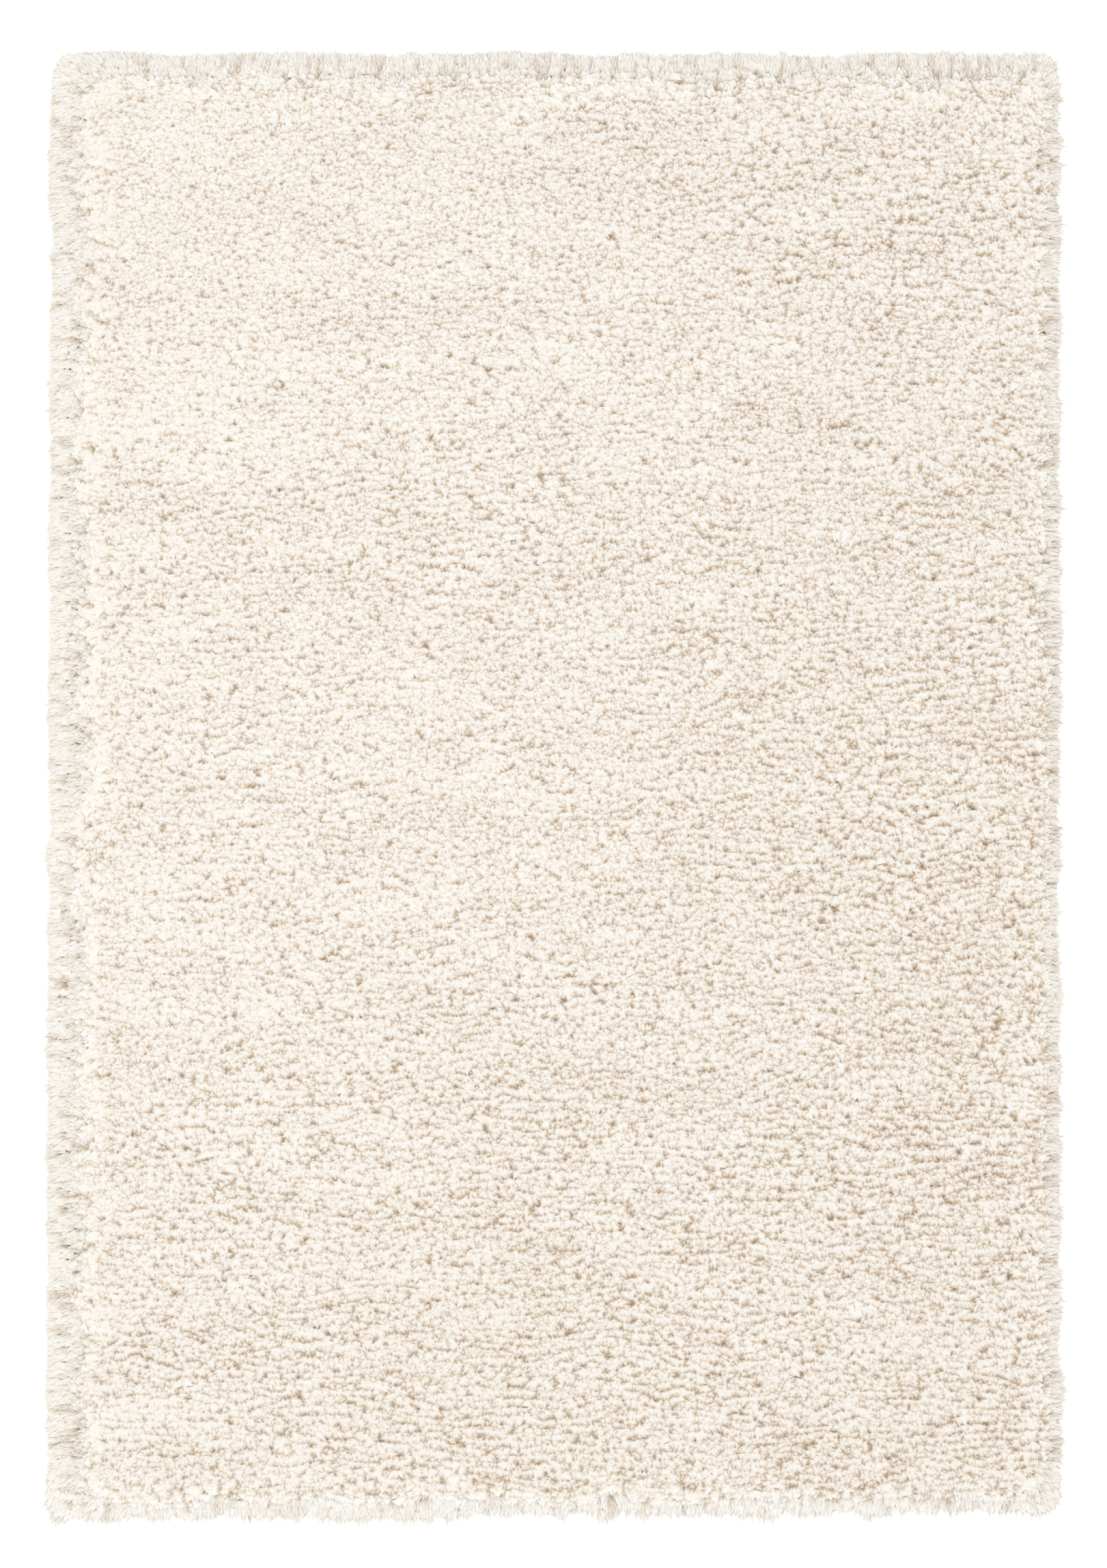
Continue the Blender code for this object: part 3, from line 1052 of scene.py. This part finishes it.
def make_yarn():
    """Mixes the ivory yarn, whose colour follows the yarn map."""
    yarn = bpy.data.materials.new("ivory_yarn")
    yarn.use_nodes = True
    tree = yarn.node_tree
    shader = tree.nodes["Principled BSDF"]
    where = make_node(tree, "ShaderNodeUVMap", uv_map="OFBake")
    split = make_node(tree, "ShaderNodeSeparateXYZ")
    tree.links.new(where.outputs["UV"], split.inputs[0])
    white = yarn_ramp(tree, WHITE_YARN)
    creamy = yarn_ramp(tree, CREAMY_YARN)
    stretch = make_node(tree, "ShaderNodeMapping")
    stretch.inputs["Scale"].default_value = FIBRE_STRETCH
    tree.links.new(where.outputs["UV"], stretch.inputs["Vector"])
    fibres = make_node(tree, "ShaderNodeTexNoise", noise_dimensions="2D")
    fibres.inputs["Scale"].default_value = 1
    fibres.inputs["Detail"].default_value = 1
    tree.links.new(stretch.outputs["Vector"], fibres.inputs["Vector"])
    uneven = make_node(tree, "ShaderNodeMath", operation="MULTIPLY_ADD")
    uneven.inputs[1].default_value = FIBRE_CONTRAST
    uneven.inputs[2].default_value = -FIBRE_CONTRAST / 2
    tree.links.new(fibres.outputs["Fac"], uneven.inputs[0])
    tone = make_node(tree, "ShaderNodeMath", operation="ADD")
    tree.links.new(split.outputs["Y"], tone.inputs[0])
    tree.links.new(uneven.outputs["Value"], tone.inputs[1])
    tree.links.new(tone.outputs["Value"], white.inputs["Fac"])
    tree.links.new(tone.outputs["Value"], creamy.inputs["Fac"])
    mix = make_node(tree, "ShaderNodeMix", data_type="RGBA")
    tree.links.new(split.outputs["X"], mix.inputs["Factor"])
    tree.links.new(creamy.outputs["Color"], mix.inputs["A"])
    tree.links.new(white.outputs["Color"], mix.inputs["B"])
    tree.links.new(mix.outputs["Result"], shader.inputs["Base Color"])
    shader.inputs["Roughness"].default_value = YARN_ROUGHNESS
    shader.inputs["Specular IOR Level"].default_value = 0.15
    shader.inputs["Sheen Weight"].default_value = 0.5
    shader.inputs["Sheen Tint"].default_value = (1.0, 0.88, 0.74, 1)
    shader.inputs["Sheen Roughness"].default_value = 0.5
    place = make_node(tree, "ShaderNodeTexCoord")
    fuzz = make_node(tree, "ShaderNodeTexNoise")
    fuzz.inputs["Scale"].default_value = 900
    fuzz.inputs["Detail"].default_value = 2
    bump = make_node(tree, "ShaderNodeBump")
    bump.inputs["Strength"].default_value = 0.35
    bump.inputs["Distance"].default_value = 0.0006
    tree.links.new(place.outputs["Object"], fuzz.inputs["Vector"])
    tree.links.new(fuzz.outputs["Fac"], bump.inputs["Height"])
    tree.links.new(bump.outputs["Normal"], shader.inputs["Normal"])
    return yarn


yarn = make_yarn()
for piece in pile:
    piece.data.materials.append(yarn)
print(f"{len(pile)} pieces of ivory yarn")

# %% [markdown]
# ## The cloth's finish
# The backing is plain tan cloth. Two wave patterns, one across and one along, cross each other
# as the threads of a weave do, and they give both its colour and its low relief.

# %% Mix the woven backing
WEAVE_SCALE = 70
WEAVE_COLOURS = ((0.0, (0.50, 0.41, 0.29)), (1.0, (0.74, 0.66, 0.53)))


def make_cloth_finish():
    """Mixes the plain weave of the backing."""
    cloth = bpy.data.materials.new("woven_backing")
    cloth.use_nodes = True
    tree = cloth.node_tree
    shader = tree.nodes["Principled BSDF"]
    shader.inputs["Roughness"].default_value = 0.95
    place = make_node(tree, "ShaderNodeTexCoord")
    weave_across = make_node(tree, "ShaderNodeTexWave", bands_direction="X")
    weave_along = make_node(tree, "ShaderNodeTexWave", bands_direction="Y")
    for weave in (weave_across, weave_along):
        weave.inputs["Scale"].default_value = WEAVE_SCALE
        weave.inputs["Distortion"].default_value = 0.6
        tree.links.new(place.outputs["Object"], weave.inputs["Vector"])
    both = make_node(tree, "ShaderNodeMath", operation="MULTIPLY")
    tree.links.new(weave_across.outputs["Fac"], both.inputs[0])
    tree.links.new(weave_along.outputs["Fac"], both.inputs[1])
    ramp = yarn_ramp(tree, WEAVE_COLOURS)
    tree.links.new(both.outputs["Value"], ramp.inputs["Fac"])
    tree.links.new(ramp.outputs["Color"], shader.inputs["Base Color"])
    bump = make_node(tree, "ShaderNodeBump")
    bump.inputs["Strength"].default_value = 0.5
    bump.inputs["Distance"].default_value = 0.001
    tree.links.new(both.outputs["Value"], bump.inputs["Height"])
    tree.links.new(bump.outputs["Normal"], shader.inputs["Normal"])
    return cloth


backing.data.materials.append(make_cloth_finish())
print(f"the cloth is covered with {backing.data.materials[0].name}")

# %% [markdown]
# ## The packed yarn's finish
# Deep in the pile little light arrives and the yarn is crushed, so it is painted tan as shade,
# with fine, soft clots, which a noise pattern gives.

# %% Mix the packed yarn
CLOT_SCALE = 330
# Painted shade: the crushed yarn is the same ivory yarn, painted tan for the dark deep in the pile.
SHADED_CLOT_COLOURS = ((0.35, (0.58, 0.43, 0.29)), (0.65, (0.78, 0.66, 0.52)))


def make_packed_finish():
    """Mixes the crushed yarn, painted tan as shade."""
    packed = bpy.data.materials.new("packed_yarn")
    packed.use_nodes = True
    tree = packed.node_tree
    shader = tree.nodes["Principled BSDF"]
    shader.inputs["Roughness"].default_value = 0.95
    shader.inputs["Specular IOR Level"].default_value = 0.1
    place = make_node(tree, "ShaderNodeTexCoord")
    clots = make_node(tree, "ShaderNodeTexNoise")
    clots.inputs["Scale"].default_value = CLOT_SCALE
    clots.inputs["Detail"].default_value = 3
    tree.links.new(place.outputs["Object"], clots.inputs["Vector"])
    ramp = yarn_ramp(tree, SHADED_CLOT_COLOURS)
    tree.links.new(clots.outputs["Fac"], ramp.inputs["Fac"])
    tree.links.new(ramp.outputs["Color"], shader.inputs["Base Color"])
    return packed


packed_yarn.data.materials.append(make_packed_finish())
print(f"the packed yarn is covered with {packed_yarn.data.materials[0].name}")

# %% [markdown]
# ## Hang everything on the frame
# Every piece rides on the rug's one body. The cloth stands for the solid model, which is hidden.

# %% Ride and replace
for piece in [*pile, packed_yarn, backing]:
    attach(piece, "root")
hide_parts("shag_rug")
print(f"{len(pile) + 2} pieces ride on the rug's body")

# %% [markdown]
# ## Floor, light and camera
# The rug is seen from straight above in bright, soft light that comes a little from the near
# left, on a white floor that glows a little, so that it stays white beside the pale yarn. The
# camera is far off with a long lens, so that the rug keeps its straight sides.

# %% Lay the floor
FLOOR_SIZE = 60
FLOOR_LEVEL = -0.0005
FLOOR_GLOW = 0.5
deselect_all()
bpy.ops.mesh.primitive_plane_add(size=FLOOR_SIZE, location=(0, 0, FLOOR_LEVEL))
floor = bpy.context.object
floor.name = "studio_floor"
floor_paint = bpy.data.materials.new("white_floor")
floor_paint.use_nodes = True
floor_shader = floor_paint.node_tree.nodes["Principled BSDF"]
floor_shader.inputs["Base Color"].default_value = (0.93, 0.93, 0.93, 1)
floor_shader.inputs["Roughness"].default_value = 0.9
floor_shader.inputs["Specular IOR Level"].default_value = 0.1
floor_shader.inputs["Emission Color"].default_value = (1, 1, 1, 1)
floor_shader.inputs["Emission Strength"].default_value = FLOOR_GLOW
floor.data.materials.append(floor_paint)
print(f"the floor is {FLOOR_SIZE} m wide")

# %% Light it
SKY_STRENGTH = 0.820
KEY_PLACE = (-0.8, -0.5, 6.6)
KEY_SIZE = 3.0
KEY_POWER = 122
scene = bpy.context.scene
scene.view_settings.view_transform = "Standard"
world = bpy.data.worlds.new("studio")
world.use_nodes = True
world.node_tree.nodes["Background"].inputs["Color"].default_value = (1.0, 1.0, 1.0, 1)
world.node_tree.nodes["Background"].inputs["Strength"].default_value = SKY_STRENGTH
scene.world = world


def add_softbox(name, place, size, power):
    """Adds a square soft light that shines at the middle of the rug."""
    deselect_all()
    bpy.ops.object.light_add(type="AREA", location=place)
    box = bpy.context.object
    box.name = name
    box.data.size = size
    box.data.energy = power
    box.rotation_euler = (-Vector(place)).to_track_quat("-Z", "Y").to_euler()
    return box


key = add_softbox("key_softbox", KEY_PLACE, KEY_SIZE, KEY_POWER)
print(f"{key.name} gives {key.data.energy:.0f} W from {KEY_PLACE[2]} m up")

# %% Set up the camera
PHOTO_WIDTH = 1621
PHOTO_HEIGHT = 2296
METRES_PER_PIXEL = 0.001082
CAMERA_HEIGHT = 13.0
PILE_TOP = 0.035
VIEW_X = -0.0043
VIEW_Y = 0.0065
deselect_all()
bpy.ops.object.camera_add(location=(VIEW_X, VIEW_Y, CAMERA_HEIGHT), rotation=(0, 0, 0))
camera = bpy.context.object
camera.data.sensor_fit = "VERTICAL"
camera.data.sensor_height = 36
seen = PHOTO_HEIGHT * METRES_PER_PIXEL
camera.data.lens = camera.data.sensor_height * (CAMERA_HEIGHT - PILE_TOP) / seen
scene.camera = camera
print(f"the camera sees {seen:.3f} m of floor from end to end through a {camera.data.lens:.0f} mm lens")
